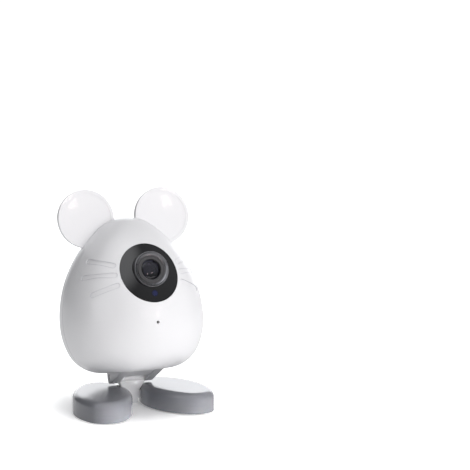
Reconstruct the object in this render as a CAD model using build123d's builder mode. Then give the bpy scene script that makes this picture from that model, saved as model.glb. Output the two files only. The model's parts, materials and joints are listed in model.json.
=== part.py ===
from build123d import *
import os
from math import atan2, cos, degrees, radians, sin, sqrt

os.makedirs("parts", exist_ok=True)

# A pet camera shaped like a mouse: an egg with two round ears and a black lens
# disc, on a hinge between two oval feet. Millimetres, +Z up, the front faces -Y,
# and the origin is on the ground under the middle of the whole camera. Left and
# right are as seen from the front, so left is -X. The head leans back at rest.

# Egg housing, measured along its own axis from its flat base
belly_radius = 38.0
widest_height = 27.0
egg_height = 81.4
crown_radius = 22.4
corner_radius = 19.4
wall = 2.2
lip_depth = 2.0
fit = 0.1                  # clearance all round between pieces that fit together

# Hinge
hinge_set_back = 2.6       # behind the middle of the whole camera
hinge_height = 15.4
rest_tilt = 11.0           # degrees that the head leans back at rest
base_forward = 8.63        # from the pin to the middle of the egg's base
base_lift = 2.6
knuckle_radius = 3.6
knuckle_width = 13.5
pin_radius = 1.3
running_clearance = 0.05
fin_thickness = 4.5
fin_reach = 19.7           # from the pin to where the fins run out
bridge_drop = 1.2          # the web between the fins, below the egg's base
washer_thickness = 0.5
pin_recess = 0.3
trough_clearance = 0.4

# Bracket plate that carries the fins, let into the egg's base
plate_length = 26.0
plate_thickness = 3.4
plate_corner = 2.0
plate_screw_side = 4.2
plate_screw_front = 9.5    # in front of the seam between the shells
plate_screw_back = 2.6     # behind the seam
pad_width = 30.0
pad_length = 33.0
pad_top = 8.4

# Stand
post_waist = 6.6
post_depth = 5.2
post_bottom = 0.7
post_flare_height = 4.9
tongue_length = 10.0       # from the stalk's front face, towards the back
tongue_reach = 15.0
tongue_bottom = 3.4
tongue_thickness = 4.0
tongue_corner = 1.5
foot_half_length = 26.7
foot_half_width = 15.4
foot_end_radius = 10.5     # of the arcs at the toe and the heel
foot_spread = 20.6
foot_forward = 13.5
toe_out = 13.0             # degrees
foot_height = 11.2
foot_edge_radius = 2.0
foot_wall = 2.0
foot_ledge = 1.2           # rim left outside the foot's base plate
foot_base_thickness = 1.6
pad_proud = 0.6
foot_pad_thickness = 1.2
foot_pad_margin = 4.0
foot_screw_spacing = 4.8
foot_boss_radius = 2.6

# Lens opening, a level hole through the front shell
opening_height = 49.7
opening_radius = 15.5
mic_drop = 25.5            # the microphone sits this far below the lens opening
bezel_inset = 0.12
flange_width = 1.5
flange_thickness = 1.3

# Lens, which looks slightly above the head's level
lens_rise = 8.0            # degrees
lens_set_in = 10.8         # from the surface to where its axis crosses the opening's
ring_radius = 9.25
ring_front = 12.2
ring_seat = 2.4
ring_flange_radius = 10.8
ring_flange_thickness = 1.0
ring_edge_radius = 0.5
ring_funnel = 0.9
barrel_radius = 7.25
barrel_front = 11.4
barrel_thread_radius = 6.0
barrel_thread_length = 4.0
glass_radius = 5.25
glass_thickness = 2.2
glass_recess = 0.5
glass_curve_radius = 14.0
barrel_bevel = 0.35
light_bore = 2.2
inner_glass_radius = 3.4
inner_glass_drop = 1.8
inner_glass_thickness = 1.6
inner_glass_curve_radius = 7.0
boss_ring_radius = 12.0
holder_neck_radius = 7.9
holder_width = 17.0
holder_base_thickness = 2.5
holder_corner = 2.0
sensor_room = 1.1          # free space round the sensor inside the holder
board_depth = 6.5          # main board, behind the crossing point
board_thickness = 1.6
board_width_share = 0.637
board_height = 32.0
board_drop = 5.0           # its middle lies this far below the lens
board_corner = 5.0
board_screw_inset = 3.1
boss_radius = 2.5
sensor_width = 8.5
sensor_thickness = 1.0
shield_width = 18.0
shield_height = 16.0
shield_thickness = 2.4
shield_corner = 1.2
shield_edge = 0.5

# Night light board round the lens
ir_board_outer = 15.4
ir_board_inner = 8.6
ir_board_thickness = 1.2
led_circle = 13.2
led_size = 2.8
led_height = 1.6
led_dome_share = 0.36
led_angles = (180, 220, 320, 360)    # seen from the front, counted from the right
pipe_radius = 1.5
pipe_drop = 12.6

# Microphone
mic_hole_radius = 0.8
mic_radius = 3.0
mic_thickness = 2.2
mic_boot_wall = 1.0
mic_seat_depth = 2.6       # from the outer surface to the flat that it sits on
mic_seat_length = 4.0
mic_seat_wall = 1.4

# Whiskers, three shallow grooves a side
groove_depth = 0.35
groove_width = 2.6
whisker_angles = ((62.5, 33.5), (63.5, 32.0), (51.5, 30.0))
whisker_height_shares = ((0.714, 0.671), (0.611, 0.609), (0.496, 0.543))

# Ears
ear_spread = 21.4
ear_drop = 0.1             # from the egg's top down to the middle of the ears
ear_radius = 15.4
ear_thickness = 3.0
ear_rim = 1.9
ear_rim_height = 0.3
ear_dish_depth = 0.5
ear_edge_radius = 0.6
tab_thickness = 1.6
tab_width = 12.0
tab_depth = 2.6            # how far it reaches past the wall
tab_hook = 1.6

# Speaker behind a round of holes in the rear shell
speaker_height = 45.0
speaker_radius = 14.4
speaker_set_in = 5.1       # from the surface at its upper edge to its seat
speaker_flange = 2.4
speaker_depth = 9.0
magnet_radius = 8.0
gasket_width = 1.8
gasket_thickness = 0.8
land_wall = 1.4
magnet_share = 0.45
dust_cap_share = 0.7
grille_hole_radius = 0.8
grille_step = 3.1
grille_rings = 3

# Connector board and what sits on it
connector_top = 13.4
connector_board_thickness = 1.2
connector_side_gap = 1.1   # from the board's back corners to the wall
connector_length = 14.0
connector_set_in = 12.0    # from the surface to the board's back edge
connector_corner = 2.5
connector_screw_side = 5.2
connector_post_inset = 5.0 # from the board's ends to its posts
connector_post_radius = 2.6
socket_width = 7.6
socket_height = 2.8
socket_length = 7.6
socket_metal = 0.35
socket_set_in = 15.2
socket_tongue_share = 0.55
recess_width = 13.0
recess_height = 9.0
recess_corner = 2.0
recess_depth = 6.6
recess_wall = 1.5
card_inset = 7.0           # from the board's end to the middle of the card socket
card_width = 14.0
card_length = 13.0
card_socket_height = 1.9
card_slot_width = 11.4
card_slot_height = 1.4

# Reset button
button_inset = 7.0         # from the board's end to the middle of the button
button_height = 15.6
button_radius = 1.8
button_sunk = 0.2
button_length = 6.6
button_flange_radius = 2.7
button_flange_thickness = 1.0
button_flange_set_in = 1.4 # from the button's inner end to its flange
button_gap = 0.2
button_travel = 0.4
guide_wall = 1.2
switch_width = 6.0
switch_depth = 3.6
plunger_radius = 1.2

# Screws
screw_radius = 1.0
screw_head_radius = 1.9
screw_head_height = 1.3
screw_length = 6.5
drive_share = 0.3
shell_post_radius = 3.4
shell_post_inset = 11.0    # from the widest place inwards
shell_post_low = 22.0
shell_post_drop = 10.8     # from the egg's top down to the upper post
shell_screw_seat = 5.0     # from the seam to the step that the head rests on

# Directions and planes of the leaning head
tilt = radians(rest_tilt)
right = Vector(1, 0, 0)
head_back = Vector(0, cos(tilt), -sin(tilt))
head_up = Vector(0, sin(tilt), cos(tilt))
hinge = Vector(0, hinge_set_back, hinge_height)
ground = Plane(origin=(0, hinge_set_back, 0), x_dir=right, z_dir=(0, 0, 1))
upright = Plane(origin=(0, hinge_set_back, 0), x_dir=right, z_dir=(0, -1, 0))
head_origin = hinge - head_back * base_forward + head_up * base_lift
head = Plane(origin=head_origin, x_dir=right, z_dir=head_up)
head_front = Plane(origin=head_origin, x_dir=right, z_dir=-head_back)
head_rear = Plane(origin=head_origin, x_dir=-right, z_dir=head_back)
head_side = Plane(origin=head_origin, x_dir=head_back, z_dir=right)
egg_axis = Axis(head_origin, head_up)

# Outline of the egg: flat base, corner arc, belly arc, side arc and crown arc,
# each tangent to the next
crown_height = egg_height - crown_radius
crown_rise = crown_height - widest_height
side_radius = (belly_radius**2 + crown_rise**2 - crown_radius**2) / (2 * (belly_radius - crown_radius))
side_sweep = degrees(atan2(crown_rise, side_radius - belly_radius))
flat_radius = sqrt((belly_radius - corner_radius) ** 2 - (widest_height - corner_radius) ** 2)
belly_sweep = degrees(atan2(widest_height - corner_radius, flat_radius))


def egg(inset):
    """The egg as one solid, this far inside its outer surface all round."""
    with BuildPart() as solid:
        with BuildSketch(head_front):
            with BuildLine():
                Line((0, inset), (flat_radius, inset))
                CenterArc((flat_radius, corner_radius), corner_radius - inset, -90, 90 - belly_sweep)
                CenterArc((0, widest_height), belly_radius - inset, -belly_sweep, belly_sweep)
                CenterArc((belly_radius - side_radius, widest_height), side_radius - inset, 0, side_sweep)
                CenterArc((0, crown_height), crown_radius - inset, side_sweep, 90 - side_sweep)
                Line((0, egg_height - inset), (0, inset))
            make_face()
        revolve(axis=egg_axis)
    return solid.part


def egg_radius(height):
    """Outer radius of the egg at a height on its belly or its side."""
    if height < widest_height:
        return sqrt(belly_radius**2 - (widest_height - height) ** 2)
    return belly_radius - side_radius + sqrt(side_radius**2 - (height - widest_height) ** 2)


def egg_depth(across, height):
    """Distance from the seam to the egg's outer surface, straight forward or back."""
    return sqrt(egg_radius(height) ** 2 - across**2)


def on_egg(angle, height):
    """Point on the egg's outer surface, angle in degrees round from the front."""
    radius = egg_radius(height)
    return head.from_local_coords((radius * sin(radians(angle)), -radius * cos(radians(angle)), height))


def slab(thickness):
    """A slice of space in front of the seam, wider than the egg."""
    with BuildPart() as space:
        with BuildSketch(head_front):
            with Locations((0, egg_height / 2)):
                Rectangle(4 * belly_radius, 2 * egg_height)
        extrude(amount=thickness)
    return space.part


egg_outer = egg(0)
egg_inner = egg(wall)
egg_half_wall = egg(wall / 2)

# Places that follow the egg's surface
socket_middle = connector_top + socket_height / 2
lens_crossing = egg_depth(0, opening_height) - lens_set_in
board_width = 2 * board_width_share * egg_radius(opening_height)
mic_height = opening_height - mic_drop
ear_height = egg_height - ear_drop
speaker_plane = egg_depth(0, speaker_height + speaker_radius) - speaker_set_in
recess_floor = egg_depth(0, socket_middle) - recess_depth
socket_front = egg_depth(0, socket_middle) - socket_set_in
card_back = egg_depth(0, socket_middle) - connector_set_in
connector_front = card_back - connector_length
connector_width = 2 * (sqrt((egg_radius(connector_top) - wall) ** 2 - card_back**2) - connector_side_gap)
connector_post_side = connector_width / 2 - connector_post_inset
card_side = connector_width / 2 - card_inset
button_side = connector_width / 2 - button_inset
button_outer_end = egg_depth(button_side, button_height) - button_sunk
button_inner_end = button_outer_end - button_length
button_flange_place = button_inner_end + button_flange_set_in
shell_post_side = belly_radius - shell_post_inset
shell_post_high = egg_height - shell_post_drop

# Bracket pad: the thick floor inside both shells that the hinge bracket screws to
plate_width = knuckle_width + 2 * (washer_thickness + fin_thickness)
plate_screw_places = [
    (x, y) for x in (-plate_screw_side, plate_screw_side) for y in (-plate_screw_front, plate_screw_back)
]
with BuildPart() as bracket_pad:
    with BuildSketch(head.offset(wall / 2)):
        RectangleRounded(pad_width, pad_length, plate_corner)
    extrude(amount=pad_top - wall / 2)
    add(egg_half_wall, mode=Mode.INTERSECT)
with BuildPart() as bracket_pocket:
    with BuildSketch(head):
        RectangleRounded(plate_width + 2 * fit, plate_length + 2 * fit, plate_corner + fit)
    extrude(amount=plate_thickness)
    with BuildSketch(head):
        with Locations(*plate_screw_places):
            Circle(screw_radius)
    extrude(amount=pad_top - wall / 2)

# Housing: the whole hollow egg, with its pad and the pocket for the bracket plate
with BuildPart() as housing:
    add(egg_outer)
    add(egg_inner, mode=Mode.SUBTRACT)
    add(bracket_pad.part)
    add(bracket_pocket.part, mode=Mode.SUBTRACT)

# Seam: the rear shell's lip slides inside the front shell's edge, clear of the pad
with BuildPart() as lip_groove:
    add(egg_half_wall)
    add(egg_inner, mode=Mode.SUBTRACT)
    add(slab(lip_depth), mode=Mode.INTERSECT)
    add(bracket_pad.part, mode=Mode.SUBTRACT)
with BuildPart() as lip:
    add(egg(wall / 2 + fit))
    add(egg_inner, mode=Mode.SUBTRACT)
    add(slab(lip_depth - fit), mode=Mode.INTERSECT)
    with BuildSketch(head):
        Rectangle(pad_width + 2 * fit, pad_length)
    extrude(amount=pad_top + fit, mode=Mode.SUBTRACT)

# Ear tabs: each is clamped in the seam between the two shells
ear_angle = degrees(atan2(ear_height - crown_height, ear_spread))
tab_end = crown_radius - wall - tab_depth
tab_length = tab_depth + 2 * wall


def ear_tab(side, clearance):
    """Flat tab through the egg's wall, with a hooked end that can't pull out."""
    with BuildPart() as tab:
        for middle, length, thickness in (
            (tab_end + tab_length / 2, tab_length, tab_thickness),
            (tab_end - tab_hook / 2, tab_hook, ear_thickness),
        ):
            across = side * middle * cos(radians(ear_angle))
            height = crown_height + middle * sin(radians(ear_angle))
            with BuildSketch(head_front):
                with Locations((across, height)):
                    Rectangle(length, tab_width + 2 * clearance, rotation=side * ear_angle)
            extrude(amount=thickness / 2 + clearance, both=True)
    return tab.part


ear_slots = [ear_tab(side, fit) for side in (-1, 1)]

# Whisker grooves, cut to an even depth in the curved front
with BuildPart() as egg_skin:
    add(egg_outer)
    add(egg(groove_depth), mode=Mode.SUBTRACT)
with BuildPart() as whisker_grooves:
    for side in (-1, 1):
        for (outer_angle, inner_angle), shares in zip(whisker_angles, whisker_height_shares):
            outer_end = on_egg(side * outer_angle, shares[0] * egg_height)
            inner_end = on_egg(side * inner_angle, shares[1] * egg_height)
            middle_angle = side * (outer_angle + inner_angle) / 2
            middle_height = sum(shares) / 2 * egg_height
            middle = on_egg(middle_angle, middle_height)
            level_middle = head.from_local_coords((0, 0, middle_height))
            groove_plane = Plane(origin=middle, x_dir=inner_end - outer_end, z_dir=middle - level_middle)
            with BuildSketch(groove_plane):
                SlotOverall((inner_end - outer_end).length + groove_width, groove_width)
            extrude(amount=groove_width * 2, both=True)
    add(egg_skin.part, mode=Mode.INTERSECT)

# Lens axis and the planes across it
lens_origin = head.from_local_coords((0, -lens_crossing, opening_height))
lens_forward = -head_back * cos(radians(lens_rise)) + head_up * sin(radians(lens_rise))
lens = Plane(origin=lens_origin, x_dir=right, z_dir=lens_forward)
lens_half = Plane(origin=lens_origin, x_dir=right, z_dir=right.cross(lens_forward))
lens_axis = Axis(lens_origin, lens_forward)
board_plane = lens.offset(-board_depth)
board_screw_x = board_width / 2 - board_screw_inset
board_screw_y = board_height / 2 - board_screw_inset
board_screw_places = [
    (x, y - board_drop) for x in (-board_screw_x, board_screw_x) for y in (-board_screw_y, board_screw_y)
]

# Posts for the main board, grown from the front shell's inner wall
with BuildPart() as board_posts:
    with BuildSketch(board_plane):
        with Locations(*board_screw_places):
            Circle(boss_radius)
    extrude(amount=belly_radius)
    add(egg_half_wall, mode=Mode.INTERSECT)

# Posts that the two shells are screwed together by
shell_post_places = [(-shell_post_side, shell_post_low), (shell_post_side, shell_post_low), (0, shell_post_high)]
with BuildPart() as shell_posts:
    with BuildSketch(head_front):
        with Locations(*shell_post_places):
            Circle(shell_post_radius)
    extrude(amount=belly_radius, both=True)
    add(egg_half_wall, mode=Mode.INTERSECT)

# Microphone seat: a short tube on the front shell's inner wall
mic_plane_depth = belly_radius - mic_seat_depth
with BuildPart() as mic_seat:
    with BuildSketch(head_front.offset(mic_plane_depth - mic_seat_length)):
        with Locations((0, mic_height)):
            Circle(mic_radius + mic_boot_wall + fit + mic_seat_wall)
    extrude(amount=belly_radius)
    add(egg_half_wall, mode=Mode.INTERSECT)

# Front shell: face of the mouse
with BuildPart() as front_shell:
    add(housing.part)
    split(bisect_by=head_front, keep=Keep.TOP)
    add(lip_groove.part, mode=Mode.SUBTRACT)
    add(board_posts.part)
    add(shell_posts.part.split(head_front, keep=Keep.TOP))
    add(mic_seat.part)
    add(whisker_grooves.part, mode=Mode.SUBTRACT)
    with BuildSketch(head_front):
        with Locations((0, opening_height)):
            Circle(opening_radius)
        with Locations((0, mic_height)):
            Circle(mic_hole_radius)
    extrude(amount=2 * belly_radius, mode=Mode.SUBTRACT)
    with BuildSketch(head_front):
        with Locations((0, mic_height)):
            Circle(mic_radius + mic_boot_wall + fit)
    extrude(amount=mic_plane_depth, mode=Mode.SUBTRACT)
    with BuildSketch(board_plane):
        with Locations(*board_screw_places):
            Circle(screw_radius)
    extrude(amount=screw_length, mode=Mode.SUBTRACT)
    with BuildSketch(head_front):
        with Locations(*shell_post_places):
            Circle(screw_radius)
    extrude(amount=screw_length, mode=Mode.SUBTRACT)
    for slot in ear_slots:
        add(slot, mode=Mode.SUBTRACT)
front_shell.part.label = "front_shell"
export_step(front_shell.part, "parts/front_shell.step")

# Speaker land: a tube on the rear shell's inner wall with a step for the gasket
speaker_seat = speaker_plane - gasket_thickness
speaker_face = head_rear.offset(speaker_seat - speaker_flange)
with BuildPart() as speaker_land:
    with BuildSketch(speaker_face):
        with Locations((0, speaker_height)):
            Circle(speaker_radius + fit + land_wall)
    extrude(amount=belly_radius)
    add(egg_half_wall, mode=Mode.INTERSECT)
with BuildPart() as speaker_bore:
    with BuildSketch(speaker_face):
        with Locations((0, speaker_height)):
            Circle(speaker_radius + fit)
    extrude(amount=speaker_plane - speaker_seat + speaker_flange)
    with BuildSketch(head_rear):
        with Locations((0, speaker_height)):
            Circle(speaker_radius - gasket_width)
    extrude(amount=belly_radius)
    add(egg_inner, mode=Mode.INTERSECT)

# Recess for the power plug, with the socket's window in its floor
with BuildPart() as recess_block:
    with BuildSketch(head_rear.offset(recess_floor - recess_wall)):
        with Locations((0, socket_middle)):
            RectangleRounded(recess_width + 2 * recess_wall, recess_height + 2 * recess_wall, recess_corner)
    extrude(amount=belly_radius)
    add(egg_half_wall, mode=Mode.INTERSECT)

# Posts under the connector board, and the tube that guides the reset button
connector_under = connector_top - connector_board_thickness
connector_screw_y = connector_front + boss_radius
connector_rest_y = connector_front + connector_length - connector_post_radius - connector_corner
connector_screw_places = [(x, connector_screw_y) for x in (-connector_screw_side, connector_screw_side)]
connector_rest_places = [(x, connector_rest_y) for x in (-connector_post_side, connector_post_side)]
with BuildPart() as connector_posts:
    with BuildSketch(head.offset(connector_under)):
        with Locations(*connector_rest_places):
            Circle(connector_post_radius)
        with Locations(*connector_screw_places):
            Circle(boss_radius)
    extrude(amount=-connector_under)
    add(egg_half_wall, mode=Mode.INTERSECT)
    add(bracket_pocket.part, mode=Mode.SUBTRACT)
    with BuildSketch(head.offset(connector_under)):
        with Locations(*connector_screw_places):
            Circle(screw_radius)
    extrude(amount=pad_top - connector_under, mode=Mode.SUBTRACT)
guide_face = button_flange_place + button_flange_thickness + button_gap
with BuildPart() as button_guide:
    with BuildSketch(head_rear.offset(guide_face)):
        with Locations((button_side, button_height)):
            Circle(button_radius + fit + guide_wall)
    extrude(amount=belly_radius)
    add(egg_half_wall, mode=Mode.INTERSECT)

# Rear shell: speaker holes, plug recess, card slot, button hole and screw wells
with BuildPart() as rear_shell:
    add(housing.part)
    split(bisect_by=head_front, keep=Keep.BOTTOM)
    add(lip.part)
    add(shell_posts.part.split(head_front, keep=Keep.BOTTOM))
    add(speaker_land.part)
    add(speaker_bore.part, mode=Mode.SUBTRACT)
    add(recess_block.part)
    add(connector_posts.part)
    add(button_guide.part)
    with BuildSketch(head_rear):
        with Locations((0, speaker_height)):
            Circle(grille_hole_radius)
            for ring in range(1, grille_rings + 1):
                with PolarLocations(ring * grille_step, 6 * ring):
                    Circle(grille_hole_radius)
        with Locations((button_side, button_height)):
            Circle(button_radius + fit)
        with Locations((-card_side, connector_top + card_socket_height / 2)):
            SlotOverall(card_slot_width, card_slot_height)
        with Locations((0, socket_middle)):
            Rectangle(socket_width + 2 * fit, socket_height + 2 * fit)
    extrude(amount=2 * belly_radius, mode=Mode.SUBTRACT)
    with BuildSketch(head_rear.offset(recess_floor)):
        with Locations((0, socket_middle)):
            RectangleRounded(recess_width, recess_height, recess_corner)
    extrude(amount=belly_radius, mode=Mode.SUBTRACT)
    with BuildSketch(head_rear):
        with Locations(*shell_post_places):
            Circle(screw_radius + fit)
    extrude(amount=shell_screw_seat, mode=Mode.SUBTRACT)
    with BuildSketch(head_rear.offset(shell_screw_seat)):
        with Locations(*shell_post_places):
            Circle(screw_head_radius + fit)
    extrude(amount=belly_radius, mode=Mode.SUBTRACT)
    for slot in ear_slots:
        add(slot, mode=Mode.SUBTRACT)
rear_shell.part.label = "rear_shell"
export_step(rear_shell.part, "parts/rear_shell.step")

# Ears: round dished plates, scribed to the egg, each with its tab
dish_radius = ear_radius - ear_rim
dish_curve_radius = (dish_radius**2 + ear_dish_depth**2) / (2 * ear_dish_depth)
dish_rise = ear_thickness / 2 - ear_rim_height + dish_curve_radius - ear_dish_depth
for side, name in ((-1, "left_ear"), (1, "right_ear")):
    with BuildPart() as ear:
        with BuildSketch(head_front):
            with Locations((side * ear_spread, ear_height)):
                Circle(ear_radius)
        extrude(amount=ear_thickness / 2, both=True)
        fillet(ear.edges().filter_by(GeomType.CIRCLE), ear_edge_radius)
        with BuildSketch(head_front.offset(ear_thickness / 2 - ear_rim_height)):
            with Locations((side * ear_spread, ear_height)):
                Circle(dish_radius)
        extrude(amount=ear_rim_height, mode=Mode.SUBTRACT)
        with Locations(head_front.offset(dish_rise) * Location((side * ear_spread, ear_height, 0))):
            Sphere(dish_curve_radius, mode=Mode.SUBTRACT)
        add(egg_outer, mode=Mode.SUBTRACT)
        add(ear_tab(side, 0))
    ear.part.label = name
    export_step(ear.part, f"parts/{name}.step")

# Lens bezel: black disc flush with the egg, a flange behind the opening's edge,
# a boss with a flat back for the trim ring, and room behind it for the night lights
ring_back = ring_seat - ring_flange_thickness
with BuildPart() as bezel_face:
    with BuildSketch(head_front):
        with Locations((0, opening_height)):
            Circle(opening_radius - fit)
    extrude(amount=2 * belly_radius)
    add(egg(bezel_inset), mode=Mode.INTERSECT)
with BuildPart() as bezel_boss:
    with BuildSketch(lens.offset(ring_seat)):
        Circle(boss_ring_radius)
    extrude(amount=ring_front)
    add(egg(wall + fit), mode=Mode.INTERSECT)
with BuildPart() as lens_bezel:
    with BuildSketch(head_front):
        with Locations((0, opening_height)):
            Circle(opening_radius + flange_width)
    extrude(amount=2 * belly_radius)
    add(egg(wall + fit), mode=Mode.INTERSECT)
    add(bezel_face.part)
    add(egg(wall + flange_thickness), mode=Mode.SUBTRACT)
    with BuildSketch(lens.offset(ring_back + fit)):
        Circle(ir_board_outer + fit)
    extrude(amount=-ring_front, mode=Mode.SUBTRACT)
    add(bezel_boss.part)
    with BuildSketch(lens):
        Circle(ring_radius + fit)
        with Locations((0, -pipe_drop)):
            Circle(pipe_radius + fit)
    extrude(amount=2 * ring_front, mode=Mode.SUBTRACT)
lens_bezel.part.label = "lens_bezel"
export_step(lens_bezel.part, "parts/lens_bezel.step")

# Trim ring: collar round the lens, with a flange behind the bezel's boss
ring_bore = barrel_radius + fit
with BuildPart() as lens_trim_ring:
    with BuildSketch(lens_half):
        with BuildLine():
            Polyline(
                (ring_bore, ring_back),
                (ring_flange_radius, ring_back),
                (ring_flange_radius, ring_seat),
                (ring_radius, ring_seat),
                (ring_radius, ring_front),
                (ring_bore + ring_funnel, ring_front),
                (ring_bore, ring_front - ring_funnel),
                close=True,
            )
        make_face()
    revolve(axis=lens_axis)
    fillet(lens_trim_ring.edges().group_by(lens_axis)[-1].sort_by(SortBy.LENGTH)[-1], ring_edge_radius)
lens_trim_ring.part.label = "lens_trim_ring"
export_step(lens_trim_ring.part, "parts/lens_trim_ring.step")

# Lens barrel, hollow from its glass to the sensor
glass_sagitta = glass_curve_radius - sqrt(glass_curve_radius**2 - glass_radius**2)
glass_front = barrel_front - glass_recess
glass_back = glass_front - glass_thickness
with BuildPart() as lens_barrel:
    with BuildSketch(lens_half):
        with BuildLine():
            Polyline(
                (light_bore, -barrel_thread_length),
                (barrel_thread_radius, -barrel_thread_length),
                (barrel_thread_radius, 0),
                (barrel_radius, 0),
                (barrel_radius, barrel_front - barrel_bevel),
                (barrel_radius - barrel_bevel, barrel_front),
                (glass_radius + 2 * barrel_bevel, barrel_front),
                (glass_radius, glass_front - glass_sagitta),
                (glass_radius, glass_back),
                (inner_glass_radius, glass_back - inner_glass_drop),
                (inner_glass_radius, glass_back - inner_glass_drop - inner_glass_thickness),
                (light_bore, glass_back - inner_glass_drop - inner_glass_thickness),
                close=True,
            )
        make_face()
    revolve(axis=lens_axis)
lens_barrel.part.label = "lens_barrel"
export_step(lens_barrel.part, "parts/lens_barrel.step")


def lens_element(radius, front, thickness, curve_radius):
    """Glass element with a flat back and a domed front whose top is at this place."""
    sagitta = curve_radius - sqrt(curve_radius**2 - radius**2)
    with BuildPart() as element:
        with BuildSketch(lens_half):
            with BuildLine():
                Polyline((0, front), (0, front - thickness), (radius, front - thickness), (radius, front - sagitta))
                RadiusArc((0, front), (radius, front - sagitta), curve_radius)
            make_face()
        revolve(axis=lens_axis)
    return element


front_lens = lens_element(glass_radius, glass_front, glass_thickness, glass_curve_radius)
front_lens.part.label = "front_lens"
export_step(front_lens.part, "parts/front_lens.step")
inner_lens = lens_element(
    inner_glass_radius, glass_back - inner_glass_drop, inner_glass_thickness, inner_glass_curve_radius
)
inner_lens.part.label = "inner_lens"
export_step(inner_lens.part, "parts/inner_lens.step")

# Lens holder on the main board, its neck threaded for the barrel
with BuildPart() as lens_holder:
    with BuildSketch(board_plane):
        RectangleRounded(holder_width, holder_width, holder_corner)
    extrude(amount=holder_base_thickness)
    with BuildSketch(board_plane.offset(holder_base_thickness)):
        Circle(holder_neck_radius)
    extrude(amount=board_depth - holder_base_thickness)
    with BuildSketch(board_plane):
        Rectangle(sensor_width + 2 * sensor_room, sensor_width + 2 * sensor_room)
    extrude(amount=holder_base_thickness, mode=Mode.SUBTRACT)
    with BuildSketch(board_plane):
        Circle(barrel_thread_radius)
    extrude(amount=board_depth, mode=Mode.SUBTRACT)
lens_holder.part.label = "lens_holder"
export_step(lens_holder.part, "parts/lens_holder.step")

with BuildPart() as image_sensor:
    with BuildSketch(board_plane):
        Rectangle(sensor_width, sensor_width)
    extrude(amount=sensor_thickness)
image_sensor.part.label = "image_sensor"
export_step(image_sensor.part, "parts/image_sensor.step")

with BuildPart() as main_board:
    with BuildSketch(board_plane):
        with Locations((0, -board_drop)):
            RectangleRounded(board_width, board_height, board_corner)
        with Locations(*board_screw_places):
            Circle(screw_radius + fit, mode=Mode.SUBTRACT)
    extrude(amount=-board_thickness)
main_board.part.label = "main_board"
export_step(main_board.part, "parts/main_board.step")

# Metal can over the radio, on the back of the main board
with BuildPart() as radio_shield:
    with BuildSketch(board_plane.offset(-board_thickness)):
        with Locations((0, -board_drop)):
            RectangleRounded(shield_width, shield_height, shield_corner)
    extrude(amount=-shield_thickness)
    fillet(radio_shield.faces().sort_by(lens_axis)[0].edges(), shield_edge)
radio_shield.part.label = "radio_shield"
export_step(radio_shield.part, "parts/radio_shield.step")

# Night light board, clamped behind the trim ring's flange
with BuildPart() as ir_board:
    with BuildSketch(lens.offset(ring_back)):
        Circle(ir_board_outer)
        Circle(ir_board_inner, mode=Mode.SUBTRACT)
    extrude(amount=-ir_board_thickness)
ir_board.part.label = "ir_board"
export_step(ir_board.part, "parts/ir_board.step")

with BuildPart() as ir_leds:
    for angle in led_angles:
        place = (led_circle * cos(radians(angle)), led_circle * sin(radians(angle)))
        with BuildSketch(lens.offset(ring_back)):
            with Locations(place):
                Rectangle(led_size, led_size, rotation=angle)
        extrude(amount=led_height / 2)
        with BuildSketch(lens.offset(ring_back)):
            with Locations(place):
                Circle(led_size * led_dome_share)
        extrude(amount=led_height)
ir_leds.part.label = "ir_leds"
export_step(ir_leds.part, "parts/ir_leds.step")

# Clear pipe that brings daylight to the sensor under the lens
with BuildPart() as light_pipe:
    with BuildSketch(lens.offset(ring_back)):
        with Locations((0, -pipe_drop)):
            Circle(pipe_radius)
    extrude(amount=2 * ring_front)
    add(egg(bezel_inset), mode=Mode.INTERSECT)
light_pipe.part.label = "light_pipe"
export_step(light_pipe.part, "parts/light_pipe.step")

# Microphone in its rubber boot
mic_face = head_front.offset(mic_plane_depth)
with BuildPart() as mic_boot:
    with BuildSketch(mic_face):
        with Locations((0, mic_height)):
            Circle(mic_radius + mic_boot_wall)
    extrude(amount=-mic_boot_wall - mic_thickness)
    with BuildSketch(mic_face.offset(-mic_boot_wall)):
        with Locations((0, mic_height)):
            Circle(mic_radius)
    extrude(amount=-mic_thickness, mode=Mode.SUBTRACT)
    with BuildSketch(mic_face):
        with Locations((0, mic_height)):
            Circle(mic_hole_radius)
    extrude(amount=-mic_boot_wall, mode=Mode.SUBTRACT)
mic_boot.part.label = "mic_boot"
export_step(mic_boot.part, "parts/mic_boot.step")

with BuildPart() as microphone:
    with BuildSketch(mic_face.offset(-mic_boot_wall)):
        with Locations((0, mic_height)):
            Circle(mic_radius)
    extrude(amount=-mic_thickness)
microphone.part.label = "microphone"
export_step(microphone.part, "parts/microphone.step")

# Speaker and its foam gasket
with BuildPart() as speaker_gasket:
    with BuildSketch(head_rear.offset(speaker_seat)):
        with Locations((0, speaker_height)):
            Circle(speaker_radius)
            Circle(speaker_radius - gasket_width, mode=Mode.SUBTRACT)
    extrude(amount=gasket_thickness)
speaker_gasket.part.label = "speaker_gasket"
export_step(speaker_gasket.part, "parts/speaker_gasket.step")

speaker_level = head.offset(speaker_height)
magnet_back = speaker_seat - speaker_depth
with BuildPart() as speaker:
    with BuildSketch(speaker_level):
        with BuildLine():
            Polyline(
                (0, magnet_back),
                (magnet_radius, magnet_back),
                (magnet_radius, magnet_back + speaker_depth * magnet_share),
                (speaker_radius, speaker_seat - speaker_flange),
                (speaker_radius, speaker_seat),
                (speaker_radius - gasket_width, speaker_seat),
                (magnet_radius * dust_cap_share, speaker_seat - speaker_flange),
                (0, speaker_seat - speaker_flange),
                close=True,
            )
        make_face()
    revolve(axis=Axis(speaker_level.origin, head_back))
speaker.part.label = "speaker"
export_step(speaker.part, "parts/speaker.step")

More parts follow.
